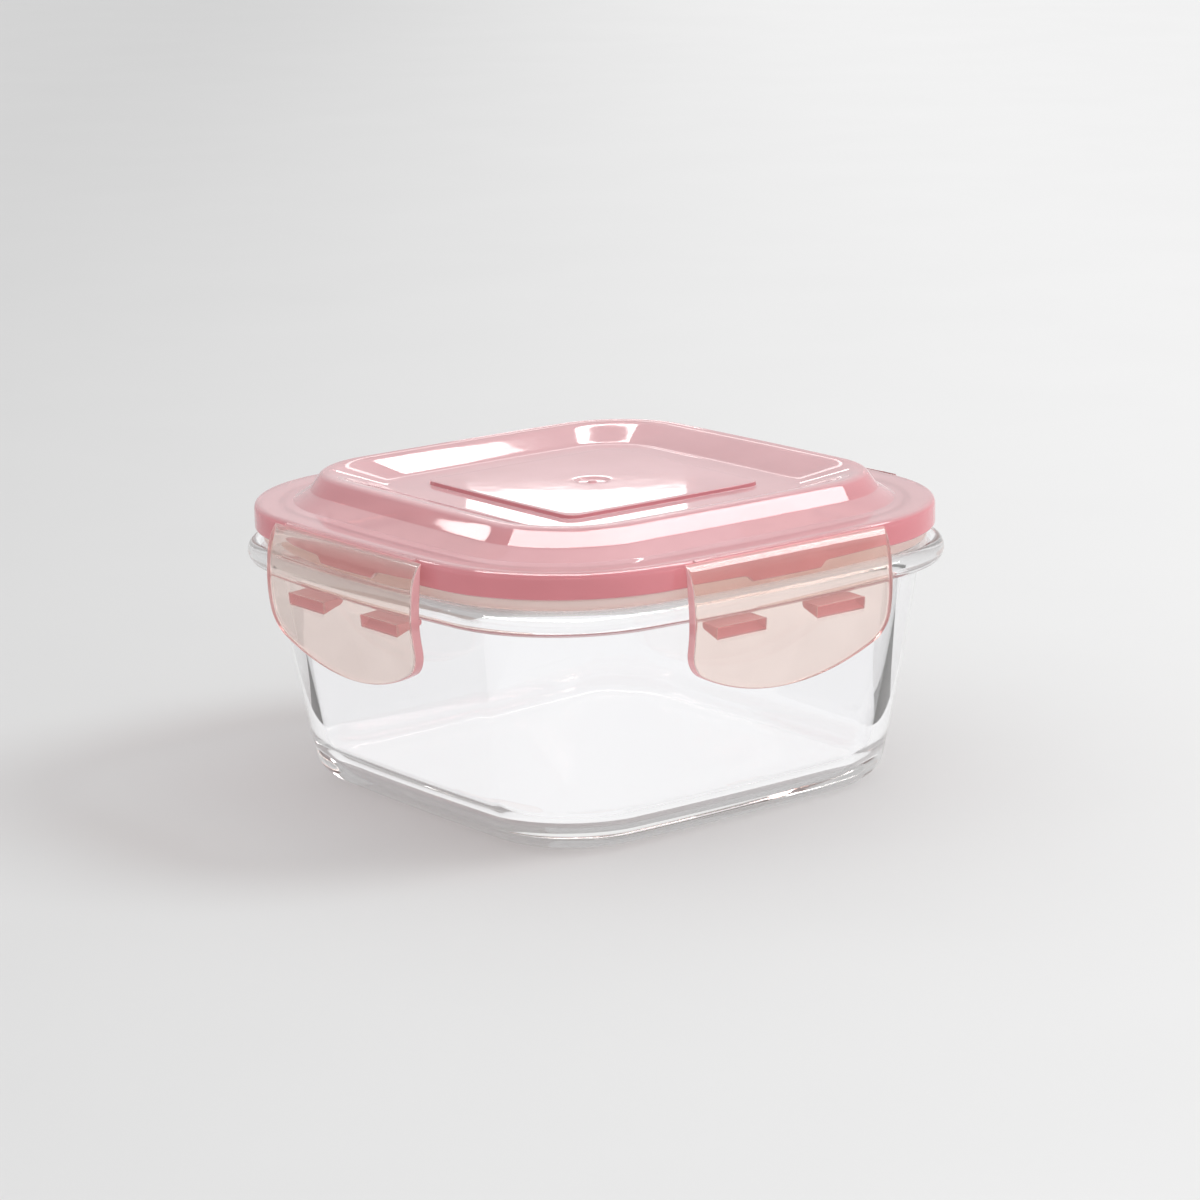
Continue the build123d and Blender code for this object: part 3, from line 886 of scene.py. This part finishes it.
class CONTAINER_OT_stage(bpy.types.Operator):
    """Make the floor, the lamp, the soft boxes, the cards of painted glow and painted shade seen through the
    glass, the room light and the camera
    """

    bl_idname = "container.stage"
    bl_label = "Studio"

    def execute(self, context):
        s = context.scene.container_stage
        a, e, r = radians(s.azimuth), radians(s.elevation), radians(s.roll)
        back = Vector((sin(a) * cos(e), -cos(a) * cos(e), sin(e)))
        right = Vector((cos(a), sin(a), 0))
        up = back.cross(right)
        place = back * s.distance + right * s.right + up * s.up
        camera = bpy.data.objects.new("camera", bpy.data.cameras.new("camera"))
        camera.data.lens = s.lens
        camera.data.sensor_width = 36
        camera.data.clip_end = 50
        across = right * cos(r) - up * sin(r)
        upright = right * sin(r) + up * cos(r)
        turn = Matrix((across, upright, back)).transposed().to_4x4()
        camera.matrix_world = Matrix.Translation(place) @ turn
        context.scene.collection.objects.link(camera)
        context.scene.camera = camera

        radii = np.linspace(0.02, FLOOR_RADIUS, FLOOR_RINGS)[:, None]
        angles = np.linspace(0, 2 * pi, FLOOR_SPOKES, endpoint=False)
        grid = np.stack(np.broadcast_arrays(radii * np.cos(angles), radii * np.sin(angles), 0), axis=2)
        index = np.arange(FLOOR_RINGS * FLOOR_SPOKES).reshape(FLOOR_RINGS, FLOOR_SPOKES)
        beside = np.roll(index, -1, axis=1)
        quads = np.stack([index[:-1], index[1:], beside[1:], beside[:-1]], axis=2)
        faces = quads.reshape(-1, 4).tolist() + [index[0].tolist()]
        floor = mesh_object("studio_floor", grid.reshape(-1, 3), faces)
        floor.data.materials.append(backdrop_paper(right))

        level = Vector((back.x, back.y, 0)).normalized()
        key = bpy.data.lights.new("key_lamp", "SUN")
        key.energy = 1.2
        key.angle = radians(22)
        lamp = bpy.data.objects.new("key_lamp", key)
        toward_lamp = right * 0.75 - level * 0.05 + Vector((0, 0, 0.66))
        lamp.rotation_euler = toward_lamp.to_track_quat("Z", "Y").to_euler()
        context.scene.collection.objects.link(lamp)

        aim = Vector((0, 0, context.scene.container_lid.bend))
        # painted glow: white glowing cards, seen only through the glass, paint the floor under the dish and
        # the space behind it bright white there
        white = glowing("painted_glow_material", (1, 1, 1, 1), 0.97)
        card("floor_painted_glow", (0, 0, CARD_LIFT), right * 0.1, level * 0.6, white, True)
        card("back_painted_glow", level * -0.5 + Vector((0, 0, 0.2)), right * 0.3, (0, 0, 0.2), white, True)
        # painted shade: dim glowing strips on the floor, left and right, seen only through the glass, paint
        # dark bands into its sides
        dark = glowing("painted_shade_material", (1, 0.98, 0.95, 1), 0.16)
        for side, name in ((-1, "left"), (1, "right")):
            centre = right * 0.16 * side + Vector((0, 0, CARD_LIFT))
            card(f"{name}_painted_shade_strip", centre, right * 0.06, level * 0.05, dark, True)
        for name, round_degrees, rise_degrees, width, height, strength in SOFT_BOXES:
            angle, rise = radians(round_degrees), radians(rise_degrees)
            toward = (right * sin(angle) + level * cos(angle)) * cos(rise) + Vector((0, 0, sin(rise)))
            centre = aim + toward * BOX_DISTANCE
            box = glowing(f"{name}_white", (1, 0.98, 0.96, 1), strength)
            card(name, centre, *facing(centre, aim, width, height), box, False)

        world = bpy.data.worlds.new("studio_room")
        world.use_nodes = True
        tree = world.node_tree
        tree.nodes.clear()
        light = add_node(tree, "ShaderNodeBackground", values={"Color": (1, 1, 1, 1), "Strength": s.world})
        world_output = add_node(tree, "ShaderNodeOutputWorld")
        tree.links.new(light.outputs["Background"], world_output.inputs["Surface"])
        context.scene.world = world
        context.scene.view_settings.view_transform = "Standard"
        return {"FINISHED"}


class CONTAINER_PT_panel(bpy.types.Panel):
    """Buttons for each piece of the container"""

    bl_idname = "CONTAINER_PT_panel"
    bl_label = "Glass container"
    bl_space_type = "VIEW_3D"
    bl_region_type = "UI"
    bl_category = "Container"

    def draw(self, context):
        for operator in OPERATORS:
            self.layout.operator(operator.bl_idname)


SETTINGS = {
    "container_dish": DishSettings,
    "container_lid": LidSettings,
    "container_flap": FlapSettings,
    "container_stage": StageSettings,
}
OPERATORS = (
    CONTAINER_OT_dish,
    CONTAINER_OT_lid,
    CONTAINER_OT_seal,
    CONTAINER_OT_flaps,
    CONTAINER_OT_films,
    CONTAINER_OT_stage,
)


def register():
    for group in SETTINGS.values():
        bpy.utils.register_class(group)
    for operator in OPERATORS:
        bpy.utils.register_class(operator)
    bpy.utils.register_class(CONTAINER_PT_panel)
    for name, group in SETTINGS.items():
        setattr(bpy.types.Scene, name, bpy.props.PointerProperty(type=group))


def unregister():
    for name in SETTINGS:
        delattr(bpy.types.Scene, name)
    for item in (CONTAINER_PT_panel, *reversed(OPERATORS), *reversed(SETTINGS.values())):
        bpy.utils.unregister_class(item)


def main():
    register()
    bpy.ops.container.dish()
    bpy.ops.container.lid()
    bpy.ops.container.seal()
    bpy.ops.container.flaps()
    bpy.ops.container.films()
    bpy.ops.container.stage()


if __name__ == "__main__":
    main()
